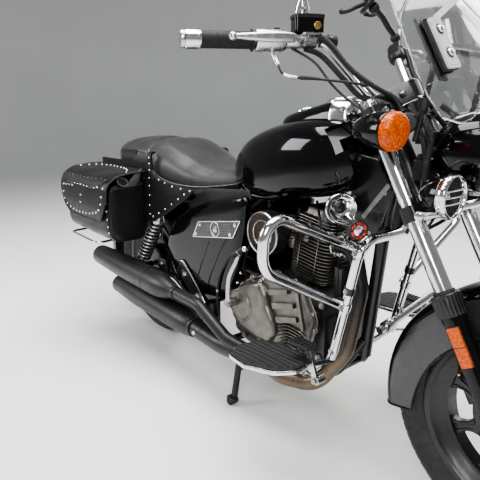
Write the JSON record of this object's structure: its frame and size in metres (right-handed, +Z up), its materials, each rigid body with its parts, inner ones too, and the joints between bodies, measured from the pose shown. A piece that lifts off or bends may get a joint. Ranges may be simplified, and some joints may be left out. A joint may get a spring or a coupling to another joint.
{
  "type": "cruiser motorcycle",
  "caption": "Light cruiser motorcycle with studded leather saddlebags, windscreen, engine guards and floorboards, parked upright on its centre stand.",
  "frame": {"origin": "on the floor, midway along the motorcycle and on its centre plane", "axes": "+X forward, +Y to the rider's left, +Z up"},
  "size_m": [2.212, 0.875, 1.3907],
  "materials": {
    "black_gloss": "deep gloss black paint",
    "black_satin": "satin black paint",
    "black_matt": "matt heat-proof black",
    "chrome": "polished",
    "cast_alloy": "satin cast alloy",
    "black_cast": "black-painted finned castings",
    "steel": "brushed",
    "leather": "black grained leather",
    "vinyl": "smooth black seat covering",
    "rubber": "moulded, ribbed",
    "tyre": "treaded",
    "black_plastic": "moulded",
    "amber": "amber lens",
    "red_lens": "red lens",
    "clear": "clear sheet",
    "header": "heat-tinted"
  },
  "bodies": {
    "chassis": {"air_cleaner": "black_plastic", "carburettor": "cast_alloy", "cylinder": "black_cast", "drive_chain": "steel", "engine_case": "cast_alloy", "engine_covers": "cast_alloy", "exhaust_header": "header", "floorboards": "rubber", "foot_pedals": "chrome", "frame_cradle": "black_satin", "frame_spine": "black_satin", "fuel_tank": "black_gloss", "guard_hoop": "chrome", "guard_left": "chrome", "guard_right": "chrome", "horn": "chrome", "kick_starter": "steel", "neck_covers": "black_gloss", "passenger_pad": "vinyl", "passenger_pegs": "chrome", "plate_bracket": "black_satin", "rear_fender": "black_gloss", "rear_indicators": "amber", "rear_shocks": "chrome", "saddlebag_left": "leather", "saddlebag_right": "leather", "saddlebag_yokes": "leather", "seat": "vinyl", "side_covers": "black_gloss", "silencer_lower": "black_matt", "silencer_upper": "black_matt", "swingarm": "black_satin", "tail_light": "red_lens", "tank_console": "black_plastic"},
    "steering": {"triple_clamps": "black_satin", "fork_tubes": "chrome", "fork_sliders": "black_gloss", "front_fender": "black_gloss", "brake_caliper": "cast_alloy", "handlebar": "chrome", "grips": "rubber", "hand_controls": "black_plastic", "hand_levers": "chrome", "mirrors": "chrome", "headlight": "black_gloss", "front_indicators": "amber", "aux_lamps": "chrome", "windscreen": "clear", "screen_mounts": "chrome", "control_cables": "black_plastic"},
    "front_wheel": {"front_tyre": "tyre", "front_wheel": "black_gloss", "front_brake_disc": "steel"},
    "rear_wheel": {"rear_tyre": "tyre", "rear_wheel": "black_gloss", "rear_sprocket": "steel"},
    "centre_stand": {"centre_stand": "black_satin"},
    "side_stand": {"side_stand": "black_satin"},
    "left_lid": {"lid_left": "leather"},
    "right_lid": {"lid_right": "leather"}
  },
  "joints": [
    {"name": "steering", "type": "hinge", "parent": "chassis", "child": "steering", "pos_m": [0.76359, 0, 0.302], "axis": [-0.5, 0, 0.866], "range_deg": [-38, 38]},
    {"name": "front_wheel_spin", "type": "hinge", "parent": "steering", "child": "front_wheel", "pos_m": [0.804, 0, 0.302], "axis": [0, 1, 0], "continuous": true},
    {"name": "rear_wheel_spin", "type": "hinge", "parent": "chassis", "child": "rear_wheel", "pos_m": [-0.686, 0, 0.3125], "axis": [0, 1, 0], "continuous": true},
    {"name": "centre_stand_fold", "type": "hinge", "parent": "chassis", "child": "centre_stand", "pos_m": [-0.046, 0, 0.166], "axis": [0, 1, 0], "range_deg": [0, 70]},
    {"name": "side_stand_fold", "type": "hinge", "parent": "chassis", "child": "side_stand", "pos_m": [0.014, 0.15, 0.186], "axis": [0, 1, 0], "range_deg": [-90, 0]},
    {"name": "left_lid_open", "type": "hinge", "parent": "chassis", "child": "left_lid", "pos_m": [-0.698, 0.18, 0.734], "axis": [1, 0, 0], "range_deg": [0, 95]},
    {"name": "right_lid_open", "type": "hinge", "parent": "chassis", "child": "right_lid", "pos_m": [-0.698, -0.18, 0.734], "axis": [-1, 0, 0], "range_deg": [0, 95]}
  ]
}
